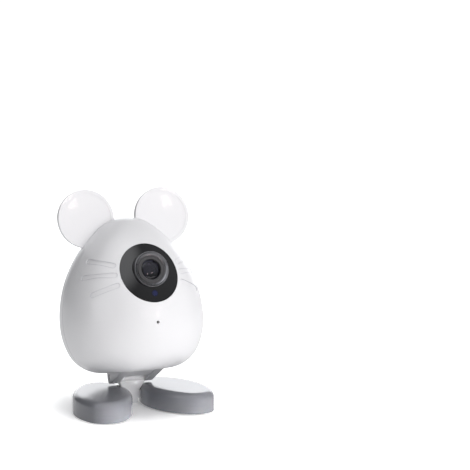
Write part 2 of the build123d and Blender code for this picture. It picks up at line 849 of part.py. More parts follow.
# Connector board with the power socket, card socket and reset switch
with BuildPart() as connector_board:
    with BuildSketch(head.offset(connector_under)):
        with Locations((0, connector_front + connector_length / 2)):
            RectangleRounded(connector_width, connector_length, connector_corner)
        with Locations(*connector_screw_places):
            Circle(screw_radius + fit, mode=Mode.SUBTRACT)
    extrude(amount=connector_board_thickness)
connector_board.part.label = "connector_board"
export_step(connector_board.part, "parts/connector_board.step")

with BuildPart() as power_socket:
    with BuildSketch(head_rear.offset(socket_front)):
        with Locations((0, socket_middle)):
            RectangleRounded(socket_width, socket_height, socket_metal * 2)
    extrude(amount=socket_length)
    with BuildSketch(head_rear.offset(socket_front + 2 * socket_metal)):
        with Locations((0, socket_middle)):
            RectangleRounded(socket_width - 2 * socket_metal, socket_height - 2 * socket_metal, socket_metal)
    extrude(amount=socket_length, mode=Mode.SUBTRACT)
    with BuildSketch(head_rear.offset(socket_front)):
        with Locations((0, socket_middle)):
            Rectangle(socket_width * socket_tongue_share, 2 * socket_metal)
    extrude(amount=socket_length - 2 * socket_metal)
power_socket.part.label = "power_socket"
export_step(power_socket.part, "parts/power_socket.step")

with BuildPart() as card_socket:
    with BuildSketch(head.offset(connector_top)):
        with Locations((card_side, card_back - card_length / 2)):
            Rectangle(card_width, card_length)
    extrude(amount=card_socket_height)
    with BuildSketch(head_rear.offset(card_back)):
        with Locations((-card_side, connector_top + card_socket_height / 2)):
            Rectangle(card_slot_width, card_socket_height - 2 * socket_metal)
    extrude(amount=-card_length + 2 * socket_metal, mode=Mode.SUBTRACT)
card_socket.part.label = "card_socket"
export_step(card_socket.part, "parts/card_socket.step")

plunger_end = button_inner_end - button_travel - fit
switch_back = card_back - button_gap
with BuildPart() as reset_switch:
    with BuildSketch(head.offset(connector_top)):
        with Locations((-button_side, switch_back - switch_depth / 2)):
            Rectangle(switch_width, switch_depth)
    extrude(amount=2 * (button_height - connector_top))
    with BuildSketch(head_rear.offset(switch_back)):
        with Locations((button_side, button_height)):
            Circle(plunger_radius)
    extrude(amount=plunger_end - switch_back)
reset_switch.part.label = "reset_switch"
export_step(reset_switch.part, "parts/reset_switch.step")

# Reset button, kept in by its flange
with BuildPart() as reset_button:
    with BuildSketch(head_rear.offset(button_inner_end)):
        with Locations((button_side, button_height)):
            Circle(button_radius)
    extrude(amount=button_outer_end - button_inner_end)
    fillet(reset_button.edges().group_by(Axis(head_origin, head_back))[-1], button_gap * 2)
    with BuildSketch(head_rear.offset(button_flange_place)):
        with Locations((button_side, button_height)):
            Circle(button_flange_radius)
    extrude(amount=button_flange_thickness)
reset_button.part.label = "reset_button"
export_step(reset_button.part, "parts/reset_button.step")

# Tilt bracket: a plate in the egg's base with two wedge-shaped fins
pin_place = (base_forward, -base_lift)
fin_inside = knuckle_width / 2 + washer_thickness
with BuildPart() as tilt_bracket:
    with BuildSketch(head):
        RectangleRounded(plate_width, plate_length, plate_corner)
    extrude(amount=plate_thickness)
    for inner_face in (-plate_width / 2, fin_inside):
        with BuildSketch(head_side.offset(inner_face)):
            with BuildLine():
                CenterArc(pin_place, knuckle_radius, 0, 360)
                Line((base_forward - fin_reach, 0), (base_forward + knuckle_radius, 0))
            make_hull()
        extrude(amount=fin_thickness)
    with BuildSketch(head_side):
        with BuildLine():
            Polyline(
                (base_forward - fin_reach, 0),
                (base_forward - fin_reach / 2, -bridge_drop),
                (base_forward + knuckle_radius, -bridge_drop),
                (base_forward + knuckle_radius, 0),
                close=True,
            )
        make_face()
    extrude(amount=fin_inside, both=True)
    with BuildSketch(head_side):
        with Locations(pin_place):
            Circle(knuckle_radius + trough_clearance)
    extrude(amount=fin_inside, both=True, mode=Mode.SUBTRACT)
    with BuildSketch(head_side):
        with Locations(pin_place):
            Circle(pin_radius)
    extrude(amount=plate_width, both=True, mode=Mode.SUBTRACT)
    with BuildSketch(head):
        with Locations(*plate_screw_places):
            Circle(screw_radius + fit)
    extrude(amount=plate_thickness, mode=Mode.SUBTRACT)
    with BuildSketch(head):
        with Locations(*plate_screw_places):
            Circle(screw_head_radius + fit)
    extrude(amount=screw_head_height + fit, mode=Mode.SUBTRACT)
tilt_bracket.part.label = "tilt_bracket"
export_step(tilt_bracket.part, "parts/tilt_bracket.step")

hinge_plane = Plane(origin=hinge, x_dir=Vector(0, 1, 0), z_dir=right)
with BuildPart() as hinge_pin:
    with BuildSketch(hinge_plane):
        Circle(pin_radius)
    extrude(amount=plate_width / 2 - pin_recess, both=True)
    chamfer(hinge_pin.edges().filter_by(GeomType.CIRCLE), pin_recess)
hinge_pin.part.label = "hinge_pin"
export_step(hinge_pin.part, "parts/hinge_pin.step")

with BuildPart() as friction_washers:
    for inner_face in (-fin_inside, fin_inside - washer_thickness + running_clearance):
        with BuildSketch(hinge_plane.offset(inner_face)):
            Circle(knuckle_radius)
            Circle(pin_radius + running_clearance, mode=Mode.SUBTRACT)
        extrude(amount=washer_thickness - running_clearance)
friction_washers.part.label = "friction_washers"
export_step(friction_washers.part, "parts/friction_washers.step")

# Stand post: knuckle, stalk that narrows to its waist, and a cross tongue
flare_top = hinge_height - knuckle_radius
tongue_top = tongue_bottom + tongue_thickness
tongue_middle = (tongue_length - post_depth) / 2
foot_screw_x = tongue_reach - 2 * screw_head_radius
foot_screw_places = [
    (x, y + tongue_middle)
    for x in (-foot_screw_x, foot_screw_x)
    for y in (-foot_screw_spacing / 2, foot_screw_spacing / 2)
]
with BuildPart() as stand_post:
    with BuildSketch(upright):
        with BuildLine():
            Line((0, post_bottom), (post_waist / 2, post_bottom))
            Line((post_waist / 2, post_bottom), (post_waist / 2, flare_top - post_flare_height))
            Line((post_waist / 2, flare_top - post_flare_height), (knuckle_width / 2, flare_top))
            Line((knuckle_width / 2, flare_top), (knuckle_width / 2, hinge_height))
            Line((knuckle_width / 2, hinge_height), (0, hinge_height))
            mirror(about=Plane.YZ)
        make_face()
    extrude(amount=post_depth / 2, both=True)
    with BuildSketch(hinge_plane):
        Circle(knuckle_radius)
    extrude(amount=knuckle_width / 2, both=True)
    with BuildSketch(ground.offset(tongue_bottom)):
        with Locations((0, tongue_middle)):
            RectangleRounded(2 * tongue_reach, tongue_length, tongue_corner)
    extrude(amount=tongue_thickness)
    with BuildSketch(hinge_plane):
        Circle(pin_radius + running_clearance)
    extrude(amount=knuckle_width, both=True, mode=Mode.SUBTRACT)
    with BuildSketch(ground.offset(tongue_bottom)):
        with Locations(*foot_screw_places):
            Circle(screw_radius + fit)
    extrude(amount=tongue_thickness, mode=Mode.SUBTRACT)
    with BuildSketch(ground.offset(tongue_bottom)):
        with Locations(*foot_screw_places):
            Circle(screw_head_radius + fit)
    extrude(amount=screw_head_height + fit, mode=Mode.SUBTRACT)
stand_post.part.label = "stand_post"
export_step(stand_post.part, "parts/stand_post.step")

# Foot outline: an oval of four tangent arcs
foot_end_place = foot_half_length - foot_end_radius
foot_side_radius = (foot_end_place**2 + foot_half_width**2 - foot_end_radius**2) / (
    2 * (foot_half_width - foot_end_radius)
)
foot_side_place = foot_side_radius - foot_half_width
foot_sweep = degrees(atan2(foot_side_place, foot_end_place))


def oval(inset):
    """The foot's outline, this far inside its edge all round, with its toe along X."""
    with BuildSketch() as outline:
        with BuildLine():
            for side, start in ((1, 0), (-1, 180)):
                CenterArc(
                    (side * foot_end_place, 0), foot_end_radius - inset, start - foot_sweep, 2 * foot_sweep
                )
                CenterArc(
                    (0, -side * foot_side_place),
                    foot_side_radius - inset,
                    start + foot_sweep,
                    180 - 2 * foot_sweep,
                )
        make_face()
    return outline.sketch


# Feet: a hollow oval shell, a plate that closes it from below, and a rubber pad
for side, name in ((-1, "left"), (1, "right")):
    toe = Vector(side * sin(radians(toe_out)), -cos(radians(toe_out)))
    foot_middle = ground.from_local_coords((side * foot_spread, -foot_forward, 0))
    foot_ground = Plane(origin=foot_middle, x_dir=toe, z_dir=(0, 0, 1))
    foot_floor = foot_ground.offset(pad_proud)
    with BuildPart() as foot:
        with BuildSketch(foot_floor):
            add(oval(0))
        extrude(amount=foot_height - pad_proud)
        fillet(foot.faces().sort_by(Axis.Z)[-1].edges(), foot_edge_radius)
        with BuildSketch(foot_floor):
            add(oval(foot_wall))
        extrude(amount=foot_height - foot_wall - pad_proud, mode=Mode.SUBTRACT)
        with BuildSketch(foot_floor):
            add(oval(foot_ledge))
        extrude(amount=foot_base_thickness, mode=Mode.SUBTRACT)
        with BuildSketch(ground.offset(tongue_top)):
            with Locations(*[place for place in foot_screw_places if place[0] * side > 0]):
                Circle(foot_boss_radius)
        extrude(amount=foot_height - foot_wall - tongue_top)
        with BuildSketch(ground.offset(tongue_top)):
            with Locations(*foot_screw_places):
                Circle(screw_radius)
        extrude(amount=foot_height - foot_wall / 2 - tongue_top, mode=Mode.SUBTRACT)
        with BuildSketch(ground.offset(tongue_bottom - fit)):
            with Locations((0, tongue_middle)):
                Rectangle(2 * (tongue_reach + fit), tongue_length + 2 * fit)
        extrude(amount=tongue_thickness + fit, mode=Mode.SUBTRACT)
    foot.part.label = f"{name}_foot"
    export_step(foot.part, f"parts/{name}_foot.step")

    with BuildPart() as foot_base:
        with BuildSketch(foot_floor):
            add(oval(foot_ledge + fit))
        extrude(amount=foot_base_thickness)
        with BuildSketch(foot_floor):
            add(oval(foot_pad_margin))
        extrude(amount=foot_pad_thickness - pad_proud, mode=Mode.SUBTRACT)
    foot_base.part.label = f"{name}_foot_base"
    export_step(foot_base.part, f"parts/{name}_foot_base.step")

    with BuildPart() as foot_pad:
        with BuildSketch(foot_ground):
            add(oval(foot_pad_margin + fit))
        extrude(amount=foot_pad_thickness)
    foot_pad.part.label = f"{name}_foot_pad"
    export_step(foot_pad.part, f"parts/{name}_foot_pad.step")


# Screws
def screws(seat, places, length):
    """Pan head screws whose heads rest on the seat plane, driven along its normal."""
    with BuildPart() as group:
        with BuildSketch(seat):
            with Locations(*places):
                Circle(screw_head_radius)
        extrude(amount=-screw_head_height)
        with BuildSketch(seat):
            with Locations(*places):
                Circle(screw_radius)
        extrude(amount=length)
        with BuildSketch(seat.offset(-screw_head_height)):
            with Locations(*places):
                Rectangle(screw_head_radius, screw_head_radius * drive_share)
                Rectangle(screw_head_radius * drive_share, screw_head_radius)
        extrude(amount=screw_head_height / 2, mode=Mode.SUBTRACT)
    return group


connector_down = Plane(origin=head.from_local_coords((0, 0, connector_top)), x_dir=right, z_dir=-head_up)
screw_groups = {
    "foot_screws": screws(
        ground.offset(tongue_bottom + screw_head_height + fit),
        foot_screw_places,
        foot_height - foot_wall - tongue_bottom - screw_head_height,
    ),
    "bracket_screws": screws(
        head.offset(screw_head_height + fit), plate_screw_places, pad_top - wall - screw_head_height
    ),
    "shell_screws": screws(
        head_front.offset(-shell_screw_seat), shell_post_places, shell_screw_seat + screw_length - fit
    ),
    "board_screws": screws(board_plane.offset(-board_thickness), board_screw_places, screw_length),
    "connector_screws": screws(
        connector_down,
        [(x, -y) for x, y in connector_screw_places],
        connector_top - pad_top,
    ),
}
for name, group in screw_groups.items():
    group.part.label = name
    export_step(group.part, f"parts/{name}.step")
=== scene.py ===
# %% [markdown]
# # A pet camera shaped like a mouse
# The camera is a white egg with two round ears, a black disc with a lens, and a hinge
# between two oval feet. The measured parts come from the CAD model. Blender adds what
# a camera sees: the surfaces, the small detail and the light.

# %% Load the measured parts
import json
import math

import bmesh
import bpy
from mathutils import Matrix, Vector


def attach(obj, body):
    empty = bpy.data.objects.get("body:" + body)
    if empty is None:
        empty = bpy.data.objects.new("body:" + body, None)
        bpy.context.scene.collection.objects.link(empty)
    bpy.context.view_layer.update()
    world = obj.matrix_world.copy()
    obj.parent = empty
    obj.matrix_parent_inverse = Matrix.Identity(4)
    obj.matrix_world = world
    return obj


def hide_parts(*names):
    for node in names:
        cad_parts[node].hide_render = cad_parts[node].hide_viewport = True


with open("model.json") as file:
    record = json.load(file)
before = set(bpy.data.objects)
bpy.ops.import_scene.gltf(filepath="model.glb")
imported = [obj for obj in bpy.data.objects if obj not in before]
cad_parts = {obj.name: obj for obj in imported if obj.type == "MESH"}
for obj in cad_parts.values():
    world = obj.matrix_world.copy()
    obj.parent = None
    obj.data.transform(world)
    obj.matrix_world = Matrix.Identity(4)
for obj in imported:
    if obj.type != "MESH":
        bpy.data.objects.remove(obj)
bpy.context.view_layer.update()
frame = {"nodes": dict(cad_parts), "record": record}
print("parts:", len(frame["nodes"]))

# %% [markdown]
# ## Helpers for materials
# Every finish on this camera is a moulded or a machined one, so they all start from a
# Principled shader. A helper makes the material and hands back its nodes and links, and
# each cell after that adds what is special about one finish.

# %% Material helper


def new_material(name):
    """A material with only its output and a Principled shader."""
    material = bpy.data.materials.new(name)
    material.use_nodes = True
    nodes = material.node_tree.nodes
    return material, nodes, material.node_tree.links, nodes["Principled BSDF"]


def paint(piece, material):
    """Gives the whole piece this one material."""
    piece.data.materials.clear()
    piece.data.materials.append(material)


# %% [markdown]
# ## Moulded grain
# Injection moulded plastic is never quite smooth: the tool leaves a fine spark grain and
# the wall sinks a little. Both are noise on Object coordinates, one small and one large,
# joined in one Bump. The group hands out a normal and a mask that also varies roughness.

# %% Moulded grain group


def moulded_grain_group():
    """Fine grain and slow waviness: a normal and a mask that changes over the surface."""
    group = bpy.data.node_groups.new("moulded grain", "ShaderNodeTree")
    for name, kind, default in (
        ("Grain Scale", "NodeSocketFloat", 2500.0),
        ("Grain Depth", "NodeSocketFloat", 0.1),
        ("Wave Scale", "NodeSocketFloat", 40.0),
        ("Wave Depth", "NodeSocketFloat", 0.2),
    ):
        socket = group.interface.new_socket(name, in_out="INPUT", socket_type=kind)
        socket.default_value = default
    group.interface.new_socket("Normal", in_out="OUTPUT", socket_type="NodeSocketVector")
    group.interface.new_socket("Mask", in_out="OUTPUT", socket_type="NodeSocketFloat")
    nodes, links = group.nodes, group.links
    entry = nodes.new("NodeGroupInput")
    leave = nodes.new("NodeGroupOutput")
    place = nodes.new("ShaderNodeTexCoord")
    grain = nodes.new("ShaderNodeTexNoise")
    grain.inputs["Detail"].default_value = 3.0
    wave = nodes.new("ShaderNodeTexNoise")
    wave.inputs["Detail"].default_value = 1.0
    fine = nodes.new("ShaderNodeBump")
    fine.inputs["Distance"].default_value = 0.00005
    slow = nodes.new("ShaderNodeBump")
    slow.inputs["Distance"].default_value = 0.0006
    for noise, scale in ((grain, "Grain Scale"), (wave, "Wave Scale")):
        links.new(place.outputs["Object"], noise.inputs["Vector"])
        links.new(entry.outputs[scale], noise.inputs["Scale"])
    links.new(wave.outputs["Fac"], slow.inputs["Height"])
    links.new(entry.outputs["Wave Depth"], slow.inputs["Strength"])
    links.new(grain.outputs["Fac"], fine.inputs["Height"])
    links.new(entry.outputs["Grain Depth"], fine.inputs["Strength"])
    links.new(slow.outputs["Normal"], fine.inputs["Normal"])
    links.new(fine.outputs["Normal"], leave.inputs["Normal"])
    links.new(grain.outputs["Fac"], leave.inputs["Mask"])
    return group


moulded_grain = moulded_grain_group()


def grained(name, colour, roughness, spread=0.04, **grain):
    """Moulded plastic of one colour, its grain and roughness varied by the group."""
    material, nodes, links, shader = new_material(name)
    group = nodes.new("ShaderNodeGroup")
    group.node_tree = moulded_grain
    for socket, value in grain.items():
        group.inputs[socket.replace("_", " ").title()].default_value = value
    rough = nodes.new("ShaderNodeMapRange")
    rough.inputs["To Min"].default_value = roughness - spread
    rough.inputs["To Max"].default_value = roughness + spread
    tint = nodes.new("ShaderNodeMix")
    tint.data_type = "RGBA"
    tint.inputs["A"].default_value = (*[0.96 * c for c in colour], 1.0)
    tint.inputs["B"].default_value = (*colour, 1.0)
    links.new(group.outputs["Mask"], rough.inputs["Value"])
    links.new(group.outputs["Mask"], tint.inputs["Factor"])
    links.new(tint.outputs["Result"], shader.inputs["Base Color"])
    links.new(rough.outputs["Result"], shader.inputs["Roughness"])
    links.new(group.outputs["Normal"], shader.inputs["Normal"])
    return material


def white_plastic(name):
    """The shells' fine, slightly glossy white."""
    material = grained(name, (0.84, 0.84, 0.855), 0.32, grain_depth=0.05, wave_depth=0.04)
    material.node_tree.nodes["Principled BSDF"].inputs["Coat Weight"].default_value = 0.15
    return material


white_shell = white_plastic("white shell plastic")
face_shell = white_plastic("white face plastic")
rear_shell = white_plastic("white rear plastic")
foot_grey = grained("grey foot plastic", (0.20, 0.205, 0.225), 0.18, spread=0.02, wave_depth=0.05)
bracket_grey = grained("grey bracket plastic", (0.60, 0.60, 0.62), 0.36)
post_grey = grained("light grey post plastic", (0.70, 0.705, 0.72), 0.4)
button_grey = grained("grey button plastic", (0.25, 0.25, 0.27), 0.4)
bezel_black = grained(
    "polished black", (0.006, 0.006, 0.007), 0.06, spread=0.01, grain_depth=0.0, wave_depth=0.03
)
collar_black = grained("black anodised collar", (0.19, 0.19, 0.20), 0.28, spread=0.03, grain_depth=0.03)
collar_black.node_tree.nodes["Principled BSDF"].inputs["Metallic"].default_value = 1.0
barrel_black = grained("matt black anodised", (0.055, 0.055, 0.058), 0.42)
washer_white = grained("slippery washer plastic", (0.6, 0.6, 0.58), 0.4)
pad_rubber = grained("pad rubber", (0.03, 0.03, 0.032), 0.75, grain_depth=0.4)
boot_rubber = grained("boot rubber", (0.015, 0.015, 0.015), 0.7, grain_depth=0.3)
gasket_foam = grained("gasket foam", (0.02, 0.02, 0.02), 0.9, grain_depth=1.0)
chip_black = grained("chip plastic", (0.015, 0.015, 0.016), 0.55)
speaker_black = grained("speaker black", (0.02, 0.02, 0.021), 0.5)
board_green = grained("green board lacquer", (0.01, 0.10, 0.035), 0.3)
board_black = grained("black board lacquer", (0.008, 0.008, 0.009), 0.3)
print("plastics made")

# %% [markdown]
# ## Metals, glass and clear resin
# The screws, the pin and the sockets are bright metal, whose fine machining marks change
# its roughness from spot to spot. The lens is coated glass, which reflects less than bare
# glass, so its specular level is lowered. The lamps and the light pipe are clear resin.

# %% Metal


def machined(name, colour, roughness):
    """Metal whose roughness varies with fine machining marks."""
    spread = 0.08
    material, nodes, links, shader = new_material(name)
    place = nodes.new("ShaderNodeTexCoord")
    marks = nodes.new("ShaderNodeTexNoise")
    marks.inputs["Scale"].default_value = 3000.0
    rough = nodes.new("ShaderNodeMapRange")
    rough.inputs["To Min"].default_value = roughness - spread
    rough.inputs["To Max"].default_value = roughness + spread
    links.new(place.outputs["Object"], marks.inputs["Vector"])
    links.new(marks.outputs["Fac"], rough.inputs["Value"])
    links.new(rough.outputs["Result"], shader.inputs["Roughness"])
    shader.inputs["Base Color"].default_value = (*colour, 1.0)
    shader.inputs["Metallic"].default_value = 1.0
    return material


steel = machined("bright steel", (0.62, 0.62, 0.63), 0.28)
tinned = machined("tinned sheet", (0.68, 0.68, 0.67), 0.34)
print("metals made")

# %% Glass and resin


def clear(name, colour, roughness, coating=0.5):
    """Glass or clear resin. A coated lens reflects less than bare glass."""
    material, nodes, links, shader = new_material(name)
    shader.inputs["Base Color"].default_value = (*colour, 1.0)
    shader.inputs["Roughness"].default_value = roughness
    shader.inputs["Transmission Weight"].default_value = 1.0
    shader.inputs["IOR"].default_value = 1.5
    shader.inputs["Specular IOR Level"].default_value = coating
    return material


lens_glass = clear("lens glass", (0.10, 0.10, 0.15), 0.0, 0.3)
clear_resin = clear("clear resin", (0.9, 0.9, 0.92), 0.1)
pipe_resin = clear("pipe resin", (0.008, 0.014, 0.09), 0.1)
pipe_resin.node_tree.nodes["Principled BSDF"].inputs["Transmission Weight"].default_value = 0.4
print("glass and resin made")

# %% [markdown]
# ## Painting the measured parts
# The record names a material slot for each part. One table turns those slots into the
# finishes above, so a part can't be forgotten. The two shells get a white of their own
# each, because the whiskers and the seam are added to them next.

# %% A finish for every slot
finishes = {
    "shell_white": white_shell,
    "bezel_black": bezel_black,
    "ring_black": collar_black,
    "barrel_black": barrel_black,
    "lens_glass": lens_glass,
    "foot_grey": foot_grey,
    "bracket_grey": bracket_grey,
    "post_grey": post_grey,
    "pad_rubber": pad_rubber,
    "boot_rubber": boot_rubber,
    "gasket_foam": gasket_foam,
    "board_green": board_green,
    "board_black": board_black,
    "chip_black": chip_black,
    "sensor_glass": chip_black,
    "led_clear": clear_resin,
    "pipe_clear": pipe_resin,
    "socket_steel": tinned,
    "pin_steel": steel,
    "screw_steel": steel,
    "washer_white": washer_white,
    "speaker_black": speaker_black,
    "button_grey": button_grey,
}
slot_of = {part["node"]: part["material_slot"] for part in frame["record"]["subparts"]}
for name, node in frame["nodes"].items():
    paint(node, finishes[slot_of[name]])
paint(frame["nodes"]["front_shell"], face_shell)
paint(frame["nodes"]["rear_shell"], rear_shell)
print("painted", len(frame["nodes"]), "parts")

# %% [markdown]
# ## Whisker outlines
# The whiskers are shallow grooves, three on each cheek. Their edges are sharper than the
# CAD's, and the shade along them is painted into the colour. The outline of a groove is
# every point at one distance from the line along its middle, so a group measures the
# distance to that line and keeps a thin band of it as a mask, which darkens the colour: painted shade.

# %% The head's own frame
mm = 0.001
head_lean = math.radians(-11)
head_origin = Vector((0, -5.375, 19.599)) * mm
head_place = Matrix.Translation(head_origin) @ Matrix.Rotation(head_lean, 4, "X")
print("head origin", head_origin)

# %% Groove outline group
groove_half_width = 1.3 * mm
outline_inner, outline_outer = 0.03 * mm, 0.2 * mm


def groove_outline_group():
    """A band round the line between two points, at one distance from it."""
    group = bpy.data.node_groups.new("groove outline", "ShaderNodeTree")
    for name in ("Start", "End"):
        group.interface.new_socket(name, in_out="INPUT", socket_type="NodeSocketVector")
    group.interface.new_socket("Mask", in_out="INPUT", socket_type="NodeSocketFloat")
    group.interface.new_socket("Mask", in_out="OUTPUT", socket_type="NodeSocketFloat")
    nodes, links = group.nodes, group.links
    entry, leave = nodes.new("NodeGroupInput"), nodes.new("NodeGroupOutput")
    place = nodes.new("ShaderNodeTexCoord")

    def vector(operation, first, second):
        """A Vector Math node with both of its inputs linked."""
        node = nodes.new("ShaderNodeVectorMath")
        node.operation = operation
        links.new(first, node.inputs[0])
        links.new(second, node.inputs[3 if operation == "SCALE" else 1])
        return node.outputs["Value" if operation in ("DOT_PRODUCT", "DISTANCE") else "Vector"]

    from_start = vector("SUBTRACT", place.outputs["Object"], entry.outputs["Start"])
    line = vector("SUBTRACT", entry.outputs["End"], entry.outputs["Start"])
    share = nodes.new("ShaderNodeMath")
    share.operation = "DIVIDE"
    share.use_clamp = True
    links.new(vector("DOT_PRODUCT", from_start, line), share.inputs[0])
    links.new(vector("DOT_PRODUCT", line, line), share.inputs[1])
    gap = vector("DISTANCE", from_start, vector("SCALE", line, share.outputs["Value"]))
    band = nodes.new("ShaderNodeMath")
    band.operation = "SUBTRACT"
    band.inputs[1].default_value = groove_half_width
    size = nodes.new("ShaderNodeMath")
    size.operation = "ABSOLUTE"
    keep = nodes.new("ShaderNodeMapRange")
    keep.interpolation_type = "SMOOTHSTEP"
    keep.inputs["From Min"].default_value = outline_outer
    keep.inputs["From Max"].default_value = outline_inner
    both = nodes.new("ShaderNodeMath")
    both.operation = "MAXIMUM"
    links.new(gap, band.inputs[0])
    links.new(band.outputs["Value"], size.inputs[0])
    links.new(size.outputs["Value"], keep.inputs["Value"])
    links.new(keep.outputs["Result"], both.inputs[0])
    links.new(entry.outputs["Mask"], both.inputs[1])
    links.new(both.outputs["Value"], leave.inputs["Mask"])
    return group


groove_outline = groove_outline_group()

# %% Whiskers on the face
egg_height, belly_radius, belly_height, side_curve = 81.4, 38, 27, 63.02
whiskers = (
    ((62.5, 0.714), (33.5, 0.671)),
    ((63.5, 0.611), (32.0, 0.609)),
    ((51.5, 0.496), (30.0, 0.543)),
)


def cheek_point(turn, share):
    """Point on the egg's surface, turned from the front, at a share of its height."""
    height = share * egg_height
    radius = belly_radius - side_curve + math.sqrt(side_curve**2 - (height - belly_height) ** 2)
    turn = math.radians(turn)
    across, depth = radius * mm * math.sin(turn), -radius * mm * math.cos(turn)
    return head_place @ Vector((across, depth, height * mm))


def shade_where(material, mask, colour):
    """Mixes another colour into the material wherever the mask is."""
    nodes, links = material.node_tree.nodes, material.node_tree.links
    base = nodes["Principled BSDF"].inputs["Base Color"]
    plain = base.links[0].from_socket
    shade = nodes.new("ShaderNodeMix")
    shade.data_type = "RGBA"
    shade.inputs["B"].default_value = colour
    links.new(mask, shade.inputs["Factor"])
    links.new(plain, shade.inputs["A"])
    links.new(shade.outputs["Result"], base)


mask = None
for side in (-1, 1):
    for (outer_turn, outer_share), (inner_turn, inner_share) in whiskers:
        whisker = face_shell.node_tree.nodes.new("ShaderNodeGroup")
        whisker.node_tree = groove_outline
        whisker.inputs["Start"].default_value = cheek_point(side * outer_turn, outer_share)
        whisker.inputs["End"].default_value = cheek_point(side * inner_turn, inner_share)
        if mask is not None:
            face_shell.node_tree.links.new(mask, whisker.inputs["Mask"])
        mask = whisker.outputs["Mask"]
# painted shade along the edges of the whisker grooves
shade_where(face_shell, mask, (0.62, 0.62, 0.65, 1.0))
print("whiskers drawn:", 2 * len(whiskers))

# %% [markdown]
# ## The seam
# The front and rear shells meet in one plane all round the egg. Two moulded edges never
# close without a trace, so a hairline of shade runs along the joint. It is every point
# near that plane, so its distance along the head's own depth gives the mask.

# %% Seam line


def seam_line_group():
    """A thin band along the plane where the two shells meet."""
    group = bpy.data.node_groups.new("seam line", "ShaderNodeTree")
    group.interface.new_socket("Width", in_out="INPUT", socket_type="NodeSocketFloat")
    group.interface.new_socket("Mask", in_out="OUTPUT", socket_type="NodeSocketFloat")
    nodes, links = group.nodes, group.links
    entry, leave = nodes.new("NodeGroupInput"), nodes.new("NodeGroupOutput")
    place = nodes.new("ShaderNodeTexCoord")
    depth = nodes.new("ShaderNodeVectorMath")
    depth.operation = "DOT_PRODUCT"
    head_depth = head_place.to_3x3() @ Vector((0, 1, 0))
    depth.inputs[1].default_value = head_depth
    from_seam = nodes.new("ShaderNodeMath")
    from_seam.operation = "SUBTRACT"
    from_seam.inputs[1].default_value = head_depth.dot(head_place.translation)
    size = nodes.new("ShaderNodeMath")
    size.operation = "ABSOLUTE"
    keep = nodes.new("ShaderNodeMapRange")
    keep.interpolation_type = "SMOOTHSTEP"
    keep.inputs["To Min"].default_value = 1.0
    keep.inputs["To Max"].default_value = 0.0
    links.new(place.outputs["Object"], depth.inputs[0])
    links.new(depth.outputs["Value"], from_seam.inputs[0])
    links.new(from_seam.outputs["Value"], size.inputs[0])
    links.new(size.outputs["Value"], keep.inputs["Value"])
    links.new(entry.outputs["Width"], keep.inputs["From Max"])
    links.new(keep.outputs["Result"], leave.inputs["Mask"])
    return group


seam_line = seam_line_group()
seam_width = 0.28 * mm
for material in (face_shell, rear_shell):
    seam = material.node_tree.nodes.new("ShaderNodeGroup")
    seam.node_tree = seam_line
    seam.inputs["Width"].default_value = seam_width
    shade_where(material, seam.outputs["Mask"], (0.30, 0.30, 0.32, 1.0))
print("seam drawn on two shells")

# %% [markdown]
# ## Helpers for modelling
# Every new piece starts as a primitive and is shaped in edit mode, as by hand. An operator
# works on all that is selected, so the first helper clears the selection. Pieces on the
# leaning head are modelled upright at their own middle, then turned into place. The turn
# goes into the mesh, so the object itself stays at the origin, like a CAD part.

# %% Selecting


def start_clean():
    """Deselects everything, outside edit mode."""
    if bpy.context.mode != "OBJECT":
        bpy.ops.object.mode_set(mode="OBJECT")
    bpy.ops.object.select_all(action="DESELECT")


def pick(piece):
    """Makes this the only selected piece and the active one."""
    start_clean()
    piece.select_set(True)
    bpy.context.view_layer.objects.active = piece


def select_faces(piece, wanted):
    """In edit mode, selects the faces for which wanted(face) is true."""
    bpy.ops.mesh.select_mode(type="FACE")
    bpy.ops.mesh.select_all(action="DESELECT")
    mesh = bmesh.from_edit_mesh(piece.data)
    mesh.normal_update()
    for face in mesh.faces:
        if wanted(face):
            face.select_set(True)
    bmesh.update_edit_mesh(piece.data)


def select_edges(piece, wanted):
    """In edit mode, selects the edges for which wanted(edge) is true."""
    bpy.ops.mesh.select_mode(type="EDGE")
    bpy.ops.mesh.select_all(action="DESELECT")
    mesh = bmesh.from_edit_mesh(piece.data)
    for edge in mesh.edges:
        if wanted(edge):
            edge.select_set(True)
    bmesh.update_edit_mesh(piece.data)


# %% Modifiers, places and names


def apply_modifier(piece, kind, **settings):
    """Adds one modifier with its settings and applies it."""
    pick(piece)
    modifier = piece.modifiers.new(kind.lower(), kind)
    for name, value in settings.items():
        setattr(modifier, name, value)
    bpy.ops.object.modifier_apply(modifier=modifier.name)


def set_in_place(piece, place=None, smooth=35):
    """Writes the place into the mesh, and shades all but the sharp edges smooth."""
    pick(piece)
    bpy.ops.object.transform_apply()
    if place is not None:
        piece.matrix_world = place
        bpy.ops.object.transform_apply()
    bpy.ops.object.shade_smooth_by_angle(angle=math.radians(smooth))


def cut(piece, tool, operation="DIFFERENCE"):
    """Cuts or joins a tool into a piece, and removes the tool."""
    apply_modifier(piece, "BOOLEAN", object=tool, operation=operation, solver="EXACT")
    bpy.data.objects.remove(tool)


def mirrored_copy(piece):
    """The same piece with a mesh of its own, mirrored to the other side."""
    twin = piece.copy()
    twin.data = piece.data.copy()
    bpy.context.scene.collection.objects.link(twin)
    twin.scale.x = -1
    pick(twin)
    bpy.ops.object.transform_apply()
    bpy.ops.object.mode_set(mode="EDIT")
    bpy.ops.mesh.select_all(action="SELECT")
    bpy.ops.mesh.normals_make_consistent(inside=False)
    bpy.ops.object.mode_set(mode="OBJECT")
    return twin


def finish_piece(piece, name, body, material, slot, *nodes):
    """Names a piece, gives it its finish, hides the parts it stands for and attaches it."""
    piece.name = piece.data.name = name
    paint(piece, material)
    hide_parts(*nodes)
    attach(piece, body)
    print(name, len(piece.data.polygons), "faces")


# %% [markdown]
# Most of the lens, and every round cutter, is a turned shape. Its section is a list of
# (radius, height) points. A circle is extruded from point to point of that section and
# scaled to each radius, until it meets its own start.

